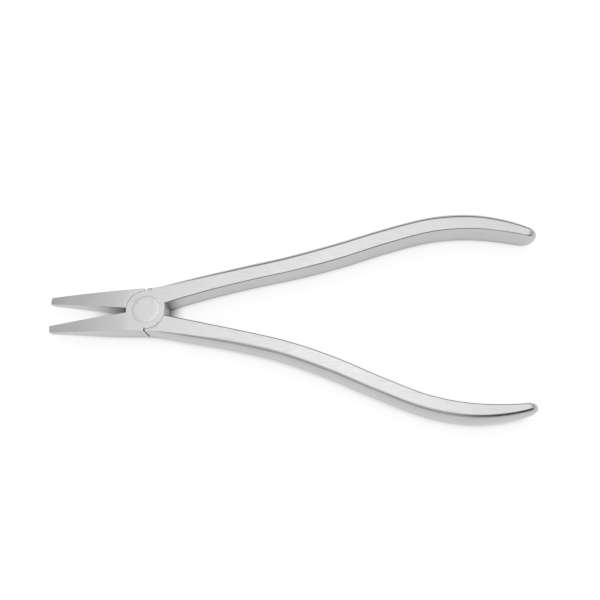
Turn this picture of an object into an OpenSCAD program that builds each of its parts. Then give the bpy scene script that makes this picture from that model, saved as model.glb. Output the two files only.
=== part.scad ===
// Long-handled flat-nose pliers, all steel, on a riveted lap joint.
// Two forged halves cross at the joint. Each half is one solid: a jaw, a lap
// disc of half the joint's thickness, and the handle on the other side.
// Origin: centre of the joint's back face, on the pivot axis. +X runs to the
// handle ends, -X to the jaw tips and +Z from the back lap to the front lap.

/* [Joint] */
// Radius of the round lap discs
lap_r = 6.9; // [6.7:0.1:7.2]
// Distance from the pivot to the flat that the laps have between the handles
lap_flat = 6.6; // [6:0.1:6.6]
// Thickness of the joint across both laps
joint_t = 8.5; // [7.5:0.1:9.5]
// Gap between the two laps
lap_gap = 0.1; // [0.06:0.01:0.2]
// Gap round the rim of each lap disc
rim_gap = 0.12; // [0.08:0.01:0.2]
// Angle left open between the upper jaw and the upper handle's shoulder
upper_gap = 5; // [4:0.1:6]
// Angle left open between the lower jaw and the lower handle's shoulder
lower_gap = 3.6; // [3.4:0.1:5]
// Width of the relief slot in the lap rims beside the lower jaw
slot_w = 0.38; // [0.2:0.02:0.42]
// Radius at which the relief slot ends
slot_r = 6.5; // [6:0.1:6.7]

/* [Rivet] */
// Radius of the rivet's two flush heads
head_r = 4.8; // [4:0.1:5.4]
// Depth of each head
head_t = 1.6; // [1:0.1:2]
// Radius of the rivet's shank
shank_r = 3; // [2:0.1:3.5]
// Radial clearance round the rivet
rivet_fit = 0.05; // [0.02:0.01:0.1]

/* [Jaws] */
// Length from the pivot to the jaw tips
jaw_l = 35.4; // [30:0.1:42]
// Width of a jaw at its tip
jaw_tip_w = 2.4; // [1.5:0.1:3]
// Thickness of a jaw at its tip
jaw_tip_t = 2.7; // [2:0.1:5]
// Radius from the pivot to the corner where a jaw's back ends
jaw_heel_r = 7.7; // [7.3:0.05:7.8]
// Angle from a jaw's gripping face round to its heel
jaw_heel_angle = 80.3; // [78:0.1:82]
// Half of the gap that stays between the closed gripping faces
grip_gap = 0.05; // [0.03:0.01:0.1]
// Angle of the upper gripping face above the X axis
upper_jaw_angle = 1.4; // [0.5:0.1:3]
// Angle of the lower gripping face below the X axis
lower_jaw_angle = 11.4; // [8:0.1:14]

/* [Handles] */
// Length from the pivot to the handle ends
handle_l = 133.4; // [128:0.1:140]
// Length of the rounding at a handle's end
end_l = 3.4; // [2:0.2:8]
// Radius of the edge along the inner side of a handle
inner_edge = 0.4; // [0.2:0.1:0.8]

/* [Hidden] */

$fn = 96;
mid_z = joint_t / 2;
// How far a cutting or trimming tool runs past the metal
past = 1;
// Where a handle's root turns into its swept bar
root_l = 6;
// Distance from the pivot to the outer corner of each handle's shoulder
upper_shoulder_r = 7.65;
lower_shoulder_r = 7.65;
// Swell of the outer side at the shoulder
shoulder_swell = 0.05;
// Handle centre lines, [x, y]
upper_line = [[0, 3.7], [8, 6.3], [20, 10.05], [34, 14.15], [50, 18.6], [66, 23.9],
    [82, 29.95], [98, 34.85], [112, 36.2], [124, 35.1], [134, 32.9]];
lower_line = [[0, -3.9], [8, -4.65], [20, -5.9], [34, -7.7], [50, -10.65], [66, -15.35],
    [82, -21.2], [98, -26.3], [112, -28], [124, -27.1], [134, -25.05]];
// Width of the flat front and back faces of each handle, [x, width]
upper_width = [[0, 7], [8, 5.9], [18, 5.05], [28, 4.6], [40, 4.4], [60, 4.7],
    [82, 4.5], [104, 4.2], [114, 3.9], [124, 3.2], [134, 1.7]];
lower_width = [[0, 7], [8, 5.85], [18, 4.9], [28, 4.2], [40, 3.9], [60, 4.2],
    [82, 4.1], [104, 3.75], [114, 3.45], [124, 2.6], [134, 1.1]];
// Thickness of the bar, [x, thickness]
bar_t = [[0, joint_t], [6, joint_t], [30, 8.7], [60, 9.8], [90, 10.4], [112, 11], [134, 9.4]];
// How far the outer side swells past the flat faces, [x, swell]
bar_swell = [[0, shoulder_swell], [6, 0.8], [14, 1.5], [30, 2.1], [60, 2.2],
    [90, 2.2], [112, 2.5], [134, 1.9]];

// Slope of a table between rows a and b
function rise(table, a, b) = (table[b][1] - table[a][1]) / (table[b][0] - table[a][0]);

// Slope of a table at row i, from the parabola through it and its neighbours
function row_slope(table, i) =
    i == 0 ? rise(table, 0, 1) :
    i == len(table) - 1 ? rise(table, i - 1, i) :
    let (
        before = table[i][0] - table[i - 1][0],
        after = table[i + 1][0] - table[i][0]
    )
    (after * rise(table, i - 1, i) + before * rise(table, i, i + 1)) / (before + after);

// Smooth curve through the rows of a table of [x, value]
function smooth(x, table, i = 0) =
    i < len(table) - 2 && x > table[i + 1][0] ? smooth(x, table, i + 1) :
    let (
        h = table[i + 1][0] - table[i][0],
        t = (x - table[i][0]) / h,
        t2 = t * t,
        t3 = t2 * t
    )
    (2 * t3 - 3 * t2 + 1) * table[i][1] + (t3 - 2 * t2 + t) * h * row_slope(table, i)
    + (3 * t2 - 2 * t3) * table[i + 1][1] + (t3 - t2) * h * row_slope(table, i + 1);

// Slope of the smooth curve at x
slope_step = 0.05;
function smooth_slope(x, table) =
    (smooth(x + slope_step, table) - smooth(x - slope_step, table)) / (2 * slope_step);

// Stations along a handle: even along the bar, closer round its end. The
// rounding stops short of a quarter turn, so a small flat closes the end
bar_steps = 40;
end_steps = 7;
end_turn = 86;
stations = [
    for (i = [0 : bar_steps]) root_l + (handle_l - end_l - root_l) * i / bar_steps,
    for (i = [1 : end_steps]) handle_l - end_l + end_l * sin(end_turn * i / end_steps)
];

// How much of its full section the bar keeps at x, as it rounds off
function end_scale(x) =
    let (v = max(x - (handle_l - end_l), 0) / end_l)
    sqrt(1 - v * v);

// D-shaped section [across, z]: a flat inner side with broken edges, and an
// outer side that bulges as half an ellipse
swell_steps = 12;
function bar_section(width, thick, swell) =
    let (half = thick / 2)
    concat(
        [[inner_edge - width / 2, -half], [-width / 2, inner_edge - half],
         [-width / 2, half - inner_edge], [inner_edge - width / 2, half]],
        [for (i = [0 : swell_steps])
            let (a = 90 - 180 * i / swell_steps)
            [width / 2 + swell * cos(a), half * sin(a)]]
    );

// Direction across a handle at x. side is 1 for the upper handle, -1 for the lower
function across_line(x, line, side) =
    let (slope = smooth_slope(x, line))
    side * [-slope, 1] / sqrt(1 + slope * slope);

// One ring of the bar at station x
function bar_ring(x, line, widths, side) =
    let (
        across = across_line(x, line, side),
        swell = smooth(x, bar_swell),
        keep = end_scale(x)
    )
    [for (p = bar_section(smooth(x, widths), smooth(x, bar_t), swell))
        let (n = swell / 2 + keep * (p[0] - swell / 2))
        [x + across[0] * n, smooth(x, line) + across[1] * n, mid_z + keep * p[1]]];

// One ring of the root. t runs from 0 at the shoulder to 1 at the start of the bar
function root_ring(t, line, widths, side, shoulder_r, shoulder_angle) =
    let (
        ray = [cos(shoulder_angle), sin(shoulder_angle)],
        across = across_line(root_l, line, side),
        centre = [root_l, smooth(root_l, line)],
        half = across * smooth(root_l, widths) / 2,
        chord = centre + half - shoulder_r * ray,
        end_slope = side * norm(chord) * [across[1], -across[0]],
        low = shank_r * ray + (centre - half - shank_r * ray) * t,
        high = shoulder_r * ray + chord * t + (end_slope - chord) * (pow(t, 3) - pow(t, 2)),
        width = norm(high - low),
        swell = shoulder_swell + (smooth(root_l, bar_swell) - shoulder_swell) * t
    )
    [for (p = bar_section(width, joint_t, swell))
        let (q = (low + high) / 2 + (high - low) * p[0] / width)
        [q[0], q[1], mid_z + p[1]]];

// A handle from its shoulder to its rounded end
root_steps = 6;
module handle(line, widths, side, shoulder_r, shoulder_angle) {
    rings = [
        for (i = [0 : root_steps - 1])
            root_ring(i / root_steps, line, widths, side, shoulder_r, shoulder_angle),
        for (x = stations) bar_ring(x, line, widths, side)
    ];
    size = len(rings[0]);
    last = len(rings) - 1;
    sides = [for (r = [0 : last - 1], i = [0 : size - 1])
        let (j = (i + 1) % size)
        [r * size + i, r * size + j, (r + 1) * size + j, (r + 1) * size + i]];
    caps = [[for (i = [size - 1 : -1 : 0]) i], [for (i = [0 : size - 1]) last * size + i]];
    faces = [for (f = concat(sides, caps)) side > 0 ? f : [for (i = [len(f) - 1 : -1 : 0]) f[i]]];
    polyhedron(points = [for (ring = rings, p = ring) p], faces = faces, convexity = 6);
}

// A jaw with its gripping face along -X. Its front and back faces curve in
// towards the tip, following this power of the distance from the lap
jaw_steps = 16;
jaw_curve = 1.6;
module jaw() {
    heel = jaw_heel_r * [-cos(jaw_heel_angle), sin(jaw_heel_angle)];
    run = jaw_l - lap_r;
    drop = (joint_t - jaw_tip_t) / 2;
    taper = [for (i = [0 : jaw_steps]) [-lap_r - run * i / jaw_steps, drop * pow(i / jaw_steps, jaw_curve)]];
    intersection() {
        linear_extrude(joint_t)
            polygon([[0, grip_gap], heel, [-jaw_l, grip_gap + jaw_tip_w], [-jaw_l, grip_gap]]);
        translate([0, jaw_heel_r + past, 0])
            rotate([90, 0, 0])
                linear_extrude(jaw_heel_r + 2 * past)
                    polygon(concat(
                        [[0, 0]],
                        taper,
                        [for (i = [jaw_steps : -1 : 0]) [taper[i][0], joint_t - taper[i][1]]],
                        [[0, joint_t]]
                    ));
    }
}

// A lap disc from z = low up to z = high, with the flat between the handles
module lap_disc(low, high) {
    intersection() {
        translate([0, 0, low]) cylinder(r = lap_r, h = high - low);
        translate([-lap_r - past, -lap_r - past, low - past])
            cube([lap_r + past + lap_flat, 2 * (lap_r + past), high - low + 2 * past]);
    }
}

// Cutting tool for the relief slot in the lap rims, midway between the lower
// jaw and the lower handle's shoulder
module relief_slot() {
    rotate([0, 0, lower_jaw_angle + jaw_heel_angle + lower_gap / 2 - 180])
        translate([slot_r, -slot_w / 2, -past])
            cube([lap_r + 2 * past - slot_r, slot_w, joint_t + 2 * past]);
}

// Half with the lower jaw, the front lap and the upper handle
module lower_jaw_half() {
    lap_z = mid_z + lap_gap / 2;
    shoulder_angle = 180 - upper_jaw_angle - jaw_heel_angle - upper_gap;
    color("silver")
        difference() {
            union() {
                rotate([0, 0, lower_jaw_angle]) mirror([0, 1, 0]) jaw();
                handle(upper_line, upper_width, 1, upper_shoulder_r, shoulder_angle);
                lap_disc(lap_z, joint_t);
            }
            // Room for the back lap
            translate([0, 0, -past]) cylinder(r = lap_r + rim_gap, h = lap_z + past);
            // Bore and countersunk seat of the rivet
            cylinder(r = shank_r + rivet_fit, h = joint_t + past);
            translate([0, 0, joint_t - head_t])
                cylinder(r = head_r + rivet_fit, h = head_t + past);
            relief_slot();
        }
}

// Half with the upper jaw, the back lap and the lower handle
module upper_jaw_half() {
    lap_z = mid_z - lap_gap / 2;
    shoulder_angle = lower_jaw_angle + jaw_heel_angle + lower_gap - 180;
    color("gainsboro")
        difference() {
            union() {
                rotate([0, 0, -upper_jaw_angle]) jaw();
                handle(lower_line, lower_width, -1, lower_shoulder_r, shoulder_angle);
                lap_disc(0, lap_z);
            }
            // Room for the front lap
            translate([0, 0, lap_z]) cylinder(r = lap_r + rim_gap, h = joint_t);
            // Bore and countersunk seat of the rivet
            translate([0, 0, -past]) cylinder(r = shank_r + rivet_fit, h = joint_t + 2 * past);
            translate([0, 0, -past])
                cylinder(r = head_r + rivet_fit, h = head_t + rivet_fit + past);
            relief_slot();
        }
}

// The pivot: a shank with a flush head at each face of the joint
module rivet() {
    color("lightgray") {
        cylinder(r = head_r, h = head_t);
        cylinder(r = shank_r, h = joint_t);
        translate([0, 0, joint_t - head_t]) cylinder(r = head_r, h = head_t);
    }
}

lower_jaw_half();
upper_jaw_half();
rivet();
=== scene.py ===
import math

import bmesh
import bpy
import numpy as np
from mathutils import Matrix, Vector


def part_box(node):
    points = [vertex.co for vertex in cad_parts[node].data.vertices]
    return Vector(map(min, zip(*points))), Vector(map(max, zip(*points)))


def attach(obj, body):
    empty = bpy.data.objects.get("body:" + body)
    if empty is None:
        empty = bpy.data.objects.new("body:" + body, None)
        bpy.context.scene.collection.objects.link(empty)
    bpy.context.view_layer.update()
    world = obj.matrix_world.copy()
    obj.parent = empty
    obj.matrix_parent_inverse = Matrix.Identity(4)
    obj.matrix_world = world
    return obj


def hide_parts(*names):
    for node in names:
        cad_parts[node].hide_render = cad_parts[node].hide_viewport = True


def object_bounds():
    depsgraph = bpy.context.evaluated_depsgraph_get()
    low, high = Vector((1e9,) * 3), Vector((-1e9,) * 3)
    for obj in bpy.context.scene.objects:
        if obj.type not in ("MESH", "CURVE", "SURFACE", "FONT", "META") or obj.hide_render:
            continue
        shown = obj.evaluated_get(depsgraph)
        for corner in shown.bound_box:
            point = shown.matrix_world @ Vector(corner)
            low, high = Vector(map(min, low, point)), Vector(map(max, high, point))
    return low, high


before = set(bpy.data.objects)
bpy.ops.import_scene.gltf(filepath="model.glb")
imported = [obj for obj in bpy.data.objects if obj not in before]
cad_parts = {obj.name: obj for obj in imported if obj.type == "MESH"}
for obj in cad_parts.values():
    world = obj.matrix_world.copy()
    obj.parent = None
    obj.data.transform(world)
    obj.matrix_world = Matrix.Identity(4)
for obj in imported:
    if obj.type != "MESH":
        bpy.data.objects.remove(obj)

CAD_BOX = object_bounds()
MM = 0.001

# ---------------------------------------------------------------- driving sizes, in millimetres
# The rivet's sizes and the joint's thickness come from the frame. The rest repeats the part's design.
RIVET_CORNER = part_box("rivet")[1] / MM
HEAD_R = RIVET_CORNER.x
JOINT_T = RIVET_CORNER.z
MID_Z = JOINT_T / 2
SHANK_R = 3.0
HEAD_T = 1.6
LAP_R = 6.9
LAP_FLAT = 6.6
SLOT_R = 6.5
SLOT_W = 0.38
LAP_GAP = 0.1
RIM_GAP = 0.05
RIVET_FIT = 0.02

JAW_L = 35.4
JAW_TIP_W = 2.4
JAW_TIP_T = 2.7
JAW_HEEL_R = 7.7
JAW_HEEL_ANGLE = 80.3
GRIP_GAP = 0.05
UPPER_JAW_ANGLE = 1.4
LOWER_JAW_ANGLE = 11.4

HANDLE_L = 133.4
END_L = 3.4
ROOT_L = 6.0
UPPER_SHOULDER_R = 7.65
LOWER_SHOULDER_R = 7.65
UPPER_SHOULDER_GAP = 5.0
LOWER_SHOULDER_GAP = 3.6
# Handle centre lines, (x, y)
UPPER_LINE = [(0, 3.7), (8, 6.3), (20, 10.05), (34, 14.15), (50, 18.6), (66, 23.9),
              (82, 29.95), (98, 34.85), (112, 36.2), (124, 35.1), (134, 32.9)]
LOWER_LINE = [(0, -3.9), (8, -4.65), (20, -5.9), (34, -7.7), (50, -10.65), (66, -15.35),
              (82, -21.2), (98, -26.3), (112, -28), (124, -27.1), (134, -25.05)]
# Width of the flat front and back faces of each handle, (x, width)
UPPER_WIDTH = [(0, 7), (8, 5.9), (18, 5.05), (28, 4.6), (40, 4.4), (60, 4.7),
               (82, 4.5), (104, 4.2), (114, 3.9), (124, 3.2), (134, 1.7)]
LOWER_WIDTH = [(0, 7), (8, 5.85), (18, 4.9), (28, 4.2), (40, 3.9), (60, 4.2),
               (82, 4.1), (104, 3.75), (114, 3.45), (124, 2.6), (134, 1.1)]
# Thickness of the bar, (x, thickness), and how far its outer side swells, (x, swell)
BAR_T = [(0, JOINT_T), (6, JOINT_T), (30, 8.7), (60, 9.8), (90, 10.4), (112, 11), (134, 9.4)]
BAR_SWELL = [(0, 0.05), (6, 0.8), (14, 1.5), (30, 2.1), (60, 2.2), (90, 2.2), (112, 2.5), (134, 1.9)]

# Radii of the broken edges
JAW_BACK_EDGE = 0.15
JAW_GRIP_EDGE = 0.12
JAW_TIP_EDGE = 0.35
LAP_EDGE = 0.08
SEAT_EDGE = 0.04
UPPER_SHOULDER_EDGE = 0.3
LOWER_SHOULDER_EDGE = 0.12
# Width and depth of the broken edge along the inner side of a handle
INNER_EDGE = (0.5, 0.4)
# How far the rivet's faces are crowned
RIVET_CROWN = 0.004

# Power of the curve in which a jaw's front and back faces come in towards its tip
JAW_CURVE = 1.6
# The rounding of a handle's end stops short of a quarter turn, so a small flat closes it
END_TURN = 88
# Half of the step used to find a slope
SLOPE_STEP = 0.05
# How far a cutting tool runs past the metal
PAST = 1
# Points closer than this are one
WELD = 0.002
# Faces that meet at more than this angle keep a sharp edge, in degrees
SHARP_ANGLE = 35

# Steps along the curves
TURN_STEPS = 192
LAP_STEPS = 180
RIM_STEPS = 4
HEAD_EDGE_STEPS = 5
EDGE_STEPS = 8
SWELL_STEPS = 44
CORNER_STEPS = 6
ROOT_STEPS = 13
BAR_STEPS = 149
END_STEPS = 23
JAW_STEPS = 59


# ---------------------------------------------------------------- curves
def row_slope(table, i):
    """Slope of a table at row i, from the parabola through it and its neighbours."""
    if i == 0 or i == len(table) - 1:
        low, high = table[max(i - 1, 0)], table[min(i + 1, len(table) - 1)]
        return (high[1] - low[1]) / (high[0] - low[0])
    before, after = table[i][0] - table[i - 1][0], table[i + 1][0] - table[i][0]
    rise, climb = (table[i][1] - table[i - 1][1]) / before, (table[i + 1][1] - table[i][1]) / after
    return (after * rise + before * climb) / (before + after)


def smooth(x, table):
    """Smooth curve through the rows of a table of (x, value)."""
    i = 0
    while i < len(table) - 2 and x > table[i + 1][0]:
        i += 1
    h = table[i + 1][0] - table[i][0]
    t = (x - table[i][0]) / h
    return ((2 * t**3 - 3 * t**2 + 1) * table[i][1] + (t**3 - 2 * t**2 + t) * h * row_slope(table, i)
            + (3 * t**2 - 2 * t**3) * table[i + 1][1] + (t**3 - t**2) * h * row_slope(table, i + 1))


def arc(centre, radii, start, stop, steps):
    """Points along an arc of an ellipse from angle start to angle stop, in degrees."""
    angles = np.radians(np.linspace(start, stop, steps + 1))
    return [(centre[0] + radii[0] * math.cos(a), centre[1] + radii[1] * math.sin(a)) for a in angles]


def fillet(centre, radius, start, stop, steps=CORNER_STEPS):
    """Points along a round arc from angle start to angle stop, in degrees."""
    return arc(centre, (radius, radius), start, stop, steps)


# ---------------------------------------------------------------- mesh building
def mesh_object(name, vertices, faces):
    """A mesh object from points in millimetres and faces, with its faces turned outwards."""
    mesh = bpy.data.meshes.new(name)
    mesh.from_pydata([tuple(v) for v in vertices], [], faces)
    bm = bmesh.new()
    bm.from_mesh(mesh)
    bmesh.ops.recalc_face_normals(bm, faces=bm.faces)
    bm.to_mesh(mesh)
    bm.free()
    obj = bpy.data.objects.new(name, mesh)
    bpy.context.scene.collection.objects.link(obj)
    return obj


def loft(name, rings):
    """A closed solid through rings of the same number of points, with flat ends."""
    count = len(rings[0])
    vertices = [p for ring in rings for p in ring]
    faces = []
    for r in range(len(rings) - 1):
        for i in range(count):
            j = (i + 1) % count
            faces.append((r * count + i, r * count + j, (r + 1) * count + j, (r + 1) * count + i))
    faces.append(tuple(range(count)))
    faces.append(tuple((len(rings) - 1) * count + i for i in range(count)))
    return mesh_object(name, vertices, faces)


def lathe(name, profile):
    """A solid turned about the pivot axis from a profile of (radius, z), with flat ends."""
    turn = np.linspace(0, 2 * math.pi, TURN_STEPS, endpoint=False)
    return loft(name, [[(radius * math.cos(a), radius * math.sin(a), z) for a in turn]
                       for radius, z in profile])


def combine(base, tool, operation):
    """Joins tool to base (UNION) or cuts it away (DIFFERENCE), and removes tool."""
    boolean = base.modifiers.new("combine", "BOOLEAN")
    boolean.operation = operation
    boolean.solver = "EXACT"
    boolean.object = tool
    graph = bpy.context.evaluated_depsgraph_get()
    result = bpy.data.meshes.new_from_object(base.evaluated_get(graph))
    base.modifiers.clear()
    old = base.data
    base.data = result
    bpy.data.meshes.remove(old)
    bpy.data.objects.remove(tool)


# ---------------------------------------------------------------- handles
def bar_section(width, thick, swell):
    """D-shaped section (across, z): a flat inner side with broken edges and an outer side that bulges."""
    half_w, half_t = width / 2, thick / 2
    wide, deep = INNER_EDGE
    return (arc((wide - half_w, deep - half_t), INNER_EDGE, 270, 180, EDGE_STEPS)
            + arc((wide - half_w, half_t - deep), INNER_EDGE, 180, 90, EDGE_STEPS)
            + arc((half_w, 0), (swell, half_t), 90, -90, SWELL_STEPS))


def place_section(section, centre, across, pull=0, keep=1):
    """Puts a section upright at centre. keep shrinks it towards the middle height and the line at pull."""
    return [centre + across * (pull + keep * (n - pull)) + Vector((0, 0, keep * z)) for n, z in section]


def line_frame(x, line, side):
    """Centre of a handle at x and the direction across it, towards its outer side."""
    slope = (smooth(x + SLOPE_STEP, line) - smooth(x - SLOPE_STEP, line)) / (2 * SLOPE_STEP)
    return Vector((x, smooth(x, line), MID_Z)), Vector((-slope, 1, 0)).normalized() * side


def root_rings(line, widths, side, shoulder_r, shoulder_angle, edge):
    """Sections from the shoulder, which stands on a radius of the joint, out to the start of the bar."""
    ray = Vector((math.cos(shoulder_angle), math.sin(shoulder_angle), 0))
    middle = Vector((0, 0, MID_Z))
    centre, across = line_frame(ROOT_L, line, side)
    half = across * smooth(ROOT_L, widths) / 2
    chord = centre + half - (ray * shoulder_r + middle)
    end_slope = across.cross(Vector((0, 0, 1))) * side * chord.length
    start_swell, end_swell = BAR_SWELL[0][1], smooth(ROOT_L, BAR_SWELL)
    offsets = [edge * (1 - math.cos(a)) for a in np.radians(np.linspace(0, 90, CORNER_STEPS + 1))]
    offsets += list(np.linspace(edge, chord.length, ROOT_STEPS + 1))[1:-1]
    rings = []
    for offset in offsets:
        t = offset / chord.length
        low = (ray * SHANK_R + middle).lerp(centre - half, t)
        high = ray * shoulder_r + middle + chord * t + (end_slope - chord) * (t**3 - t**2)
        lean = max(edge - offset, 0) / edge
        inset = edge * (1 - math.sqrt(1 - lean**2))
        swell = start_swell + (end_swell - start_swell) * t
        section = bar_section((high - low).length - 2 * inset, JOINT_T - 2 * inset, swell)
        rings.append(place_section(section, (low + high) / 2, (high - low).normalized()))
    return rings


def handle_bar(name, line, widths, side, shoulder_r, shoulder_angle, edge):
    """A handle from its shoulder to its rounded end. side is 1 for the upper one, -1 for the lower."""
    rings = root_rings(line, widths, side, shoulder_r, math.radians(shoulder_angle), edge)
    end_x = HANDLE_L - END_L
    stations = list(np.linspace(ROOT_L, end_x, BAR_STEPS + 1))
    stations += [end_x + END_L * math.sin(a)
                 for a in np.radians(np.linspace(0, END_TURN, END_STEPS + 1))[1:]]
    for x in stations:
        centre, across = line_frame(x, line, side)
        swell = smooth(x, BAR_SWELL)
        keep = math.sqrt(1 - (max(x - end_x, 0) / END_L) ** 2)
        section = bar_section(smooth(x, widths), smooth(x, BAR_T), swell)
        rings.append(place_section(section, centre, across, swell / 2, keep))
    return loft(name, rings)


# ---------------------------------------------------------------- jaws
def jaw_section(low, high, half, inset):
    """Section (y, z) of a jaw between its gripping face at low and its back at high."""
    low, high, half = low + inset, high - inset, half - inset
    grip, back = JAW_GRIP_EDGE, JAW_BACK_EDGE
    return (fillet((low + grip, grip - half), grip, 270, 180)
            + fillet((low + grip, half - grip), grip, 180, 90)
            + fillet((high - back, half - back), back, 90, 0)
            + fillet((high - back, back - half), back, 0, -90))


def jaw(name, turn, heel_edge):
    """A jaw along -X with its gripping face next to the X axis, put in place by the matrix turn."""
    heel_angle = math.radians(JAW_HEEL_ANGLE)
    heel = Vector((-math.cos(heel_angle), math.sin(heel_angle))) * JAW_HEEL_R
    tip_edge = JAW_TIP_EDGE
    run = JAW_L + heel.x
    steps = [heel_edge * (1 - math.cos(a)) for a in np.radians(np.linspace(0, 90, RIM_STEPS + 1))]
    steps += list(np.linspace(heel_edge, run - tip_edge, JAW_STEPS + 1))[1:]
    steps += [run - tip_edge + tip_edge * math.sin(a)
              for a in np.radians(np.linspace(0, 90, CORNER_STEPS + 1))[1:]]
    rings = []
    for along in steps:
        x = heel.x - along
        back = heel.y + (GRIP_GAP + JAW_TIP_W - heel.y) * along / run
        taper = max(-x - LAP_R, 0) / (JAW_L - LAP_R)
        half = MID_Z - (JOINT_T - JAW_TIP_T) / 2 * taper**JAW_CURVE
        lean = max((heel_edge - along) / heel_edge, 0)
        reach = max((along - run + tip_edge) / tip_edge, 0)
        inset = heel_edge * (1 - math.sqrt(1 - lean**2))
        inset += tip_edge * (1 - math.sqrt(max(1 - reach**2, 0)))
        section = jaw_section(GRIP_GAP, back, half, inset)
        rings.append([turn @ Vector((x, y, MID_Z + z)) for y, z in section])
    return loft(name, rings)


# ---------------------------------------------------------------- joint
def lap_disc(name, low, high, outer_z):
    """A lap disc with the flat between the handles. The edge at outer_z is broken."""
    inner_z = low if outer_z == high else high
    out = math.copysign(1, outer_z - inner_z)
    profile = [(0, inner_z)]
    for a in np.radians(np.linspace(0, 90, RIM_STEPS + 1)):
        profile.append((LAP_EDGE * (1 - math.cos(a)), outer_z - out * LAP_EDGE * (1 - math.sin(a))))
    rings = []
    for inset, z in profile:
        radius = LAP_R - inset
        flat_angle = math.degrees(math.acos((LAP_FLAT - inset) / radius))
        outline = fillet((0, 0), radius, flat_angle, 360 - flat_angle, LAP_STEPS)
        rings.append([(x, y, z) for x, y in outline])
    return loft(name, rings)


def flared_hole(name, radius, floor_z, mouth_z, edge):
    """Cutting tool for a round recess from floor_z out past mouth_z, with a broken edge at its mouth."""
    out = math.copysign(1, mouth_z - floor_z)
    profile = [(radius, floor_z)]
    for a in np.radians(np.linspace(0, 90, RIM_STEPS + 1)):
        profile.append((radius + edge * (1 - math.cos(a)), mouth_z - out * edge * (1 - math.sin(a))))
    profile.append((radius + edge, mouth_z + out * PAST))
    return lathe(name, profile)


def relief_slot(name):
    """Cutting tool for the relief slot in the rims of the laps between the lower jaw and the shoulder."""
    angle = math.radians(LOWER_JAW_ANGLE + JAW_HEEL_ANGLE + LOWER_SHOULDER_GAP / 2 - 180)
    ray = Vector((math.cos(angle), math.sin(angle), 0))
    side = Vector((-ray.y, ray.x, 0)) * SLOT_W / 2
    start, stop = ray * SLOT_R, ray * (LAP_R + 2 * PAST)
    corners = [start - side, stop - side, stop + side, start + side]
    return loft(name, [[p + Vector((0, 0, z)) for p in corners] for z in (-PAST, JOINT_T + PAST)])


def rivet():
    """The pivot: a shank with a flush head at each face of the joint, a touch crowned, edges broken."""
    face = [(HEAD_R * f, RIVET_CROWN * (1 - f * f)) for f in (0.25, 0.5, 0.75)]
    rim = fillet((HEAD_R - SEAT_EDGE, -SEAT_EDGE), SEAT_EDGE, 90, 0, HEAD_EDGE_STEPS)
    head = face + rim + [(HEAD_R, -HEAD_T), (SHANK_R, -HEAD_T)]
    low = [(radius, -height) for radius, height in head]
    high = [(radius, JOINT_T + height) for radius, height in reversed(head)]
    return lathe("rivet_body", low + high)


# ---------------------------------------------------------------- the two halves
def lower_jaw_half():
    """Lower jaw, front lap and upper handle."""
    lap_z = MID_Z + LAP_GAP / 2
    turn = Matrix.Rotation(math.radians(LOWER_JAW_ANGLE), 4, "Z") @ Matrix.Scale(-1, 4, (0, 1, 0))
    shoulder_angle = 180 - UPPER_JAW_ANGLE - JAW_HEEL_ANGLE - UPPER_SHOULDER_GAP
    half = handle_bar("lower_jaw_steel", UPPER_LINE, UPPER_WIDTH, 1, UPPER_SHOULDER_R, shoulder_angle,
                      UPPER_SHOULDER_EDGE)
    combine(half, jaw("jaw", turn, LOWER_SHOULDER_EDGE), "UNION")
    combine(half, lap_disc("lap", lap_z, JOINT_T, JOINT_T), "UNION")
    combine(half, flared_hole("room", LAP_R + RIM_GAP, lap_z, 0, LAP_EDGE), "DIFFERENCE")
    combine(half, relief_slot("slot"), "DIFFERENCE")
    bore = flared_hole("bore", SHANK_R + RIVET_FIT, lap_z - PAST, JOINT_T, SEAT_EDGE)
    combine(half, bore, "DIFFERENCE")
    seat = flared_hole("seat", HEAD_R + RIVET_FIT, JOINT_T - HEAD_T, JOINT_T, SEAT_EDGE)
    combine(half, seat, "DIFFERENCE")
    return half


def upper_jaw_half():
    """Upper jaw, back lap and lower handle."""
    lap_z = MID_Z - LAP_GAP / 2
    turn = Matrix.Rotation(math.radians(-UPPER_JAW_ANGLE), 4, "Z")
    shoulder_angle = LOWER_JAW_ANGLE + JAW_HEEL_ANGLE + LOWER_SHOULDER_GAP - 180
    half = handle_bar("upper_jaw_steel", LOWER_LINE, LOWER_WIDTH, -1, LOWER_SHOULDER_R, shoulder_angle,
                      LOWER_SHOULDER_EDGE)
    combine(half, jaw("jaw", turn, UPPER_SHOULDER_EDGE), "UNION")
    combine(half, lap_disc("lap", 0, lap_z, 0), "UNION")
    combine(half, flared_hole("room", LAP_R + RIM_GAP, lap_z, JOINT_T, LAP_EDGE), "DIFFERENCE")
    combine(half, relief_slot("slot"), "DIFFERENCE")
    bore = flared_hole("bore", SHANK_R + RIVET_FIT, lap_z + PAST, 0, SEAT_EDGE)
    combine(half, bore, "DIFFERENCE")
    seat = flared_hole("seat", HEAD_R + RIVET_FIT, HEAD_T + RIVET_FIT, 0, SEAT_EDGE)
    combine(half, seat, "DIFFERENCE")
    return half


def finish_mesh(obj):
    """Cleans a finished mesh, turns it into metres and sets its shading."""
    bm = bmesh.new()
    bm.from_mesh(obj.data)
    bmesh.ops.remove_doubles(bm, verts=bm.verts, dist=WELD)
    bmesh.ops.dissolve_degenerate(bm, edges=bm.edges, dist=WELD)
    bmesh.ops.recalc_face_normals(bm, faces=bm.faces)
    bmesh.ops.scale(bm, vec=(MM, MM, MM), verts=bm.verts)
    bm.to_mesh(obj.data)
    bm.free()
    obj.data.shade_smooth()
    obj.data.set_sharp_from_angle(angle=math.radians(SHARP_ANGLE))
    weighted = obj.modifiers.new("weighted_normals", "WEIGHTED_NORMAL")
    weighted.keep_sharp = True


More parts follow.
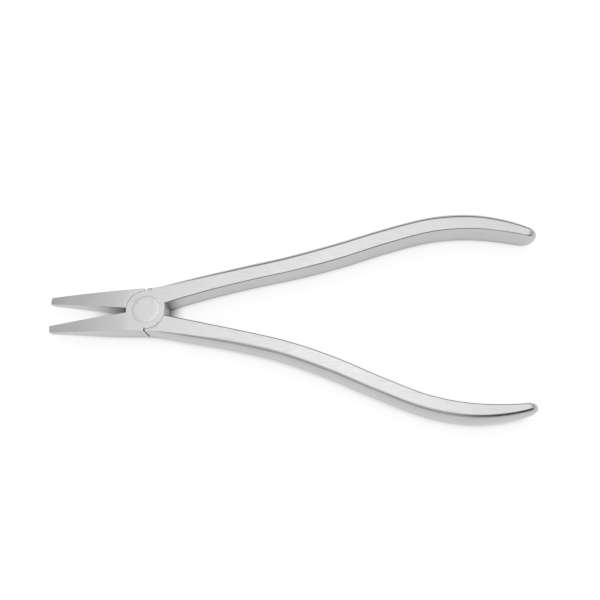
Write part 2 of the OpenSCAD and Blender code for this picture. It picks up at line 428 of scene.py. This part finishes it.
# ---------------------------------------------------------------- steel
# Radius over which wear rounds an edge, and how deep the grain and the scratches are, in metres
WEAR_R = 0.00035
GRAIN_DEPTH = 0.00001
SCRATCH_DEPTH = 0.00001
GRAIN_STRENGTH = 0.25
SCRATCH_STRENGTH = 0.4
# How fine the cloudy polish is along X, Y and Z, per metre
CLOUD_SIZE = (140, 140, 140)
# Where most values of a noise lie, and the narrow band of it that makes the scratches
NOISE_SPAN = (0.3, 0.7)
SCRATCH_SPAN = (0.66, 0.72)
# An edge is worn as its rounded normal leaves the true one, and more so where the cloud is high
WEAR_SAMPLES = 6
WEAR_SPAN = (0.995, 0.9)
WEAR_CLOUD = (0.35, 0.6)
WEAR_LEAST = 0.4
# Roughness at the two ends of the grain, and what cloud, scratches and wear add to it
GRAIN_ROUGH = (0.25, 0.33)
CLOUD_ROUGH = (-0.03, 0.04)
SCRATCH_ROUGH = 0.09
WORN_ROUGH = -0.1
# Shade of the dull, bright and worn steel, as shares of its tone
DULL = (0.95, 0.95, 0.96)
BRIGHT = (1.04, 1.04, 1.03)
WORN = (1.2, 1.2, 1.19)


def steel(name, tone, grain_size, scratch_size):
    """Satin polished steel: fine grain, faint cloudy polish, hairline scratches and edges rubbed bright."""
    mat = bpy.data.materials.new(name)
    mat.use_nodes = True
    nodes, links = mat.node_tree.nodes, mat.node_tree.links
    shader = nodes["Principled BSDF"]
    shader.inputs["Metallic"].default_value = 1.0
    place = nodes.new("ShaderNodeTexCoord")

    def shade(shares):
        return (*(tone * share for share in shares), 1)

    def noise(size, detail):
        mapping = nodes.new("ShaderNodeMapping")
        mapping.inputs["Scale"].default_value = size
        links.new(place.outputs["Object"], mapping.inputs["Vector"])
        texture = nodes.new("ShaderNodeTexNoise")
        texture.inputs["Scale"].default_value = 1.0
        texture.inputs["Detail"].default_value = detail
        links.new(mapping.outputs["Vector"], texture.inputs["Vector"])
        return texture.outputs["Fac"]

    def spread(value, start, stop, low, high):
        span = nodes.new("ShaderNodeMapRange")
        span.inputs["From Min"].default_value = start
        span.inputs["From Max"].default_value = stop
        span.inputs["To Min"].default_value = low
        span.inputs["To Max"].default_value = high
        links.new(value, span.inputs["Value"])
        return span.outputs["Result"]

    def math_node(operation, first, second):
        node = nodes.new("ShaderNodeMath")
        node.operation = operation
        links.new(first, node.inputs[0])
        links.new(second, node.inputs[1])
        return node.outputs["Value"]

    rounded = nodes.new("ShaderNodeBevel")
    rounded.samples = WEAR_SAMPLES
    rounded.inputs["Radius"].default_value = WEAR_R
    geometry = nodes.new("ShaderNodeNewGeometry")
    lean = nodes.new("ShaderNodeVectorMath")
    lean.operation = "DOT_PRODUCT"
    links.new(rounded.outputs["Normal"], lean.inputs[0])
    links.new(geometry.outputs["Normal"], lean.inputs[1])
    cloud = noise(CLOUD_SIZE, 4.0)
    edges = spread(lean.outputs["Value"], *WEAR_SPAN, 0, 1)
    worn = math_node("MULTIPLY", edges, spread(cloud, *WEAR_CLOUD, WEAR_LEAST, 1))

    grain = noise(grain_size, 3.0)
    scratch = spread(noise(scratch_size, 1.0), *SCRATCH_SPAN, 0, 1)
    tint = nodes.new("ShaderNodeMix")
    tint.data_type = "RGBA"
    tint.inputs["A"].default_value = shade(DULL)
    tint.inputs["B"].default_value = shade(BRIGHT)
    links.new(spread(cloud, *NOISE_SPAN, 0, 1), tint.inputs["Factor"])
    rubbed = nodes.new("ShaderNodeMix")
    rubbed.data_type = "RGBA"
    rubbed.inputs["B"].default_value = shade(WORN)
    links.new(worn, rubbed.inputs["Factor"])
    links.new(tint.outputs["Result"], rubbed.inputs["A"])
    links.new(rubbed.outputs["Result"], shader.inputs["Base Color"])

    rough = spread(grain, *NOISE_SPAN, *GRAIN_ROUGH)
    rough = math_node("ADD", rough, spread(cloud, *NOISE_SPAN, *CLOUD_ROUGH))
    rough = math_node("ADD", rough, spread(scratch, 0, 1, 0, SCRATCH_ROUGH))
    rough = math_node("ADD", rough, spread(worn, 0, 1, 0, WORN_ROUGH))
    links.new(rough, shader.inputs["Roughness"])

    fine = nodes.new("ShaderNodeBump")
    fine.inputs["Strength"].default_value = GRAIN_STRENGTH
    fine.inputs["Distance"].default_value = GRAIN_DEPTH
    links.new(grain, fine.inputs["Height"])
    lines = nodes.new("ShaderNodeBump")
    lines.invert = True
    lines.inputs["Strength"].default_value = SCRATCH_STRENGTH
    lines.inputs["Distance"].default_value = SCRATCH_DEPTH
    links.new(scratch, lines.inputs["Height"])
    links.new(fine.outputs["Normal"], lines.inputs["Normal"])
    links.new(lines.outputs["Normal"], shader.inputs["Normal"])
    return mat


def dress(obj, body, node, material):
    """Gives a piece its material, hangs it on its body and hides the CAD node it stands for."""
    obj.data.materials.clear()
    obj.data.materials.append(material)
    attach(obj, body)
    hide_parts(node)


# Tone, then how fine the grain and the scratches are along X, Y and Z, per metre
bar_steel = steel("bar_steel", 0.52, (250, 4200, 4200), (90, 2600, 2600))
rivet_steel = steel("rivet_steel", 0.53, (1800, 1800, 1800), (2200, 160, 160))
for maker, body, node, slot, material in (
    (lower_jaw_half, "lower_jaw_half", "lower_jaw_half", "forged_steel", bar_steel),
    (upper_jaw_half, "upper_jaw_half", "upper_jaw_half", "forged_steel", bar_steel),
    (rivet, "lower_jaw_half", "rivet", "rivet_steel", rivet_steel),
):
    piece = maker()
    finish_mesh(piece)
    dress(piece, body, node, material)


# ---------------------------------------------------------------- floor, light and camera
# The table: half its side, and how near the tool has to be to darken its glow with painted contact shade,
# in metres
FLOOR_HALF = 3
PAINTED_SHADE_REACH = 0.006
# Openness where the table's glow starts out of its painted contact shade and where it is full, and the full
# glow
PAINTED_SHADE_START = 0.28
PAINTED_SHADE_STOP = 0.58
GLOW = (0.85, 0.85, 0.85, 1)
GLOW_STRENGTH = 0.93
# Colour and roughness of the table's top
FLOOR_GREY = (0.3, 0.3, 0.3, 1)
FLOOR_ROUGH = 0.9


def floor():
    """A glowing white table under the tool, with contact shade painted into its glow where the tool closes
    it in.
    """
    half, z = FLOOR_HALF, CAD_BOX[0][2]
    corners = [(-half, -half, z), (half, -half, z), (half, half, z), (-half, half, z)]
    plate = mesh_object("floor", corners, [(0, 1, 2, 3)])
    mat = bpy.data.materials.new("white_table")
    mat.use_nodes = True
    nodes, links = mat.node_tree.nodes, mat.node_tree.links
    shader = nodes["Principled BSDF"]
    shader.inputs["Roughness"].default_value = FLOOR_ROUGH
    shader.inputs["Base Color"].default_value = FLOOR_GREY
    shader.inputs["Emission Strength"].default_value = GLOW_STRENGTH
    # Ambient occlusion darkens the table's glow near the tool: this is painted contact shade
    openness = nodes.new("ShaderNodeAmbientOcclusion")
    openness.inputs["Distance"].default_value = PAINTED_SHADE_REACH
    glow_with_painted_shade = nodes.new("ShaderNodeValToRGB")
    glow_with_painted_shade.color_ramp.elements[0].position = PAINTED_SHADE_START
    glow_with_painted_shade.color_ramp.elements[1].position = PAINTED_SHADE_STOP
    glow_with_painted_shade.color_ramp.elements[1].color = GLOW
    links.new(openness.outputs["AO"], glow_with_painted_shade.inputs["Fac"])
    links.new(glow_with_painted_shade.outputs["Color"], shader.inputs["Emission Color"])
    plate.data.materials.append(mat)


# Soft patches of the studio, (direction, cosine at the rim, cosine where it is full, brightness):
# a dark flag at the front right, a dim back wall and a bright lamp nearly overhead
SKY_PATCHES = [((0.62, -0.55, 0.56), 0.76, 0.88, 0.05),
               ((0, 0.99, 0.15), 0.7, 0.95, 0.35),
               ((-0.11, 0.27, 0.955), 0.972, 0.998, 1.45)]
# Brightness of the studio from the horizon up, measured along a direction that leans to the handles
SKY_UP = (0.2, 0, 0.98)
SKY_RAMP = [(0, 0.34), (0.47, 0.37), (0.587, 0.46), (0.662, 0.55),
            (0.846, 0.77), (0.905, 0.86), (0.935, 0.95), (1, 0.96)]
SKY_STRENGTH = 1.55
# What the camera sees beyond the table
WALL = (1, 1, 1, 1)


def studio():
    """A plain soft studio that is bright overhead and dimmer to the sides, behind a plain white wall."""
    world = bpy.data.worlds.new("studio")
    world.use_nodes = True
    nodes, links = world.node_tree.nodes, world.node_tree.links
    place = nodes.new("ShaderNodeTexCoord")

    def along(direction):
        dot = nodes.new("ShaderNodeVectorMath")
        dot.operation = "DOT_PRODUCT"
        dot.inputs[1].default_value = direction
        links.new(place.outputs["Generated"], dot.inputs[0])
        return dot.outputs["Value"]

    ramp = nodes.new("ShaderNodeValToRGB")
    stops = ramp.color_ramp.elements
    stops.remove(stops[1])
    for i, (position, grey) in enumerate(SKY_RAMP):
        stop = stops.new(position) if i else stops[0]
        stop.color = (grey, grey, grey, 1)
    links.new(along(SKY_UP), ramp.inputs["Fac"])
    links.new(ramp.outputs["Color"], nodes["Background"].inputs["Color"])
    # Each patch multiplies what the ones before it left of the studio's strength
    level = None
    for direction, rim, full, brightness in SKY_PATCHES:
        patch = nodes.new("ShaderNodeMapRange")
        patch.interpolation_type = "SMOOTHSTEP"
        patch.inputs["From Min"].default_value = rim
        patch.inputs["From Max"].default_value = full
        patch.inputs["To Min"].default_value = 1.0
        patch.inputs["To Max"].default_value = brightness
        links.new(along(direction), patch.inputs["Value"])
        blend = nodes.new("ShaderNodeMath")
        blend.operation = "MULTIPLY"
        blend.inputs[1].default_value = SKY_STRENGTH
        links.new(patch.outputs["Result"], blend.inputs[0])
        if level:
            links.new(level, blend.inputs[1])
        level = blend.outputs["Value"]
    links.new(level, nodes["Background"].inputs["Strength"])

    # The tool reflects the studio, and the camera sees the plain wall in its place
    wall = nodes.new("ShaderNodeBackground")
    wall.inputs["Color"].default_value = WALL
    path = nodes.new("ShaderNodeLightPath")
    seen = nodes.new("ShaderNodeMixShader")
    links.new(path.outputs["Is Camera Ray"], seen.inputs[0])
    links.new(nodes["Background"].outputs["Background"], seen.inputs[1])
    links.new(wall.outputs["Background"], seen.inputs[2])
    links.new(seen.outputs["Shader"], nodes["World Output"].inputs["Surface"])
    bpy.context.scene.world = world
    bpy.context.scene.view_settings.view_transform = "Standard"


# Where the camera stands: angles in degrees, distance in metres, the point it aims at in millimetres
AZIMUTH = 18.4
ELEVATION = 72.1
ROLL = 4.38
DISTANCE = 0.274
AIM = (53.5, 6.0, JOINT_T)
LENS = 48
SENSOR = 36


def camera():
    """Looks down on the tool from the side of the lower handle."""
    azimuth, elevation, roll = (math.radians(a) for a in (AZIMUTH, ELEVATION, ROLL))
    back = Vector((math.sin(azimuth) * math.cos(elevation), -math.cos(azimuth) * math.cos(elevation),
                   math.sin(elevation)))
    right = Vector((0, 1, 0)).cross(back).normalized()
    up = back.cross(right)
    tilted_right = right * math.cos(roll) + up * math.sin(roll)
    tilted_up = up * math.cos(roll) - right * math.sin(roll)
    turn = Matrix((tilted_right, tilted_up, back)).transposed().to_4x4()
    data = bpy.data.cameras.new("camera")
    data.lens = LENS
    data.sensor_width = SENSOR
    data.clip_start = 0.01
    obj = bpy.data.objects.new("camera", data)
    obj.matrix_world = Matrix.Translation(Vector(AIM) * MM + back * DISTANCE) @ turn
    bpy.context.scene.collection.objects.link(obj)
    bpy.context.scene.camera = obj


floor()
studio()
camera()
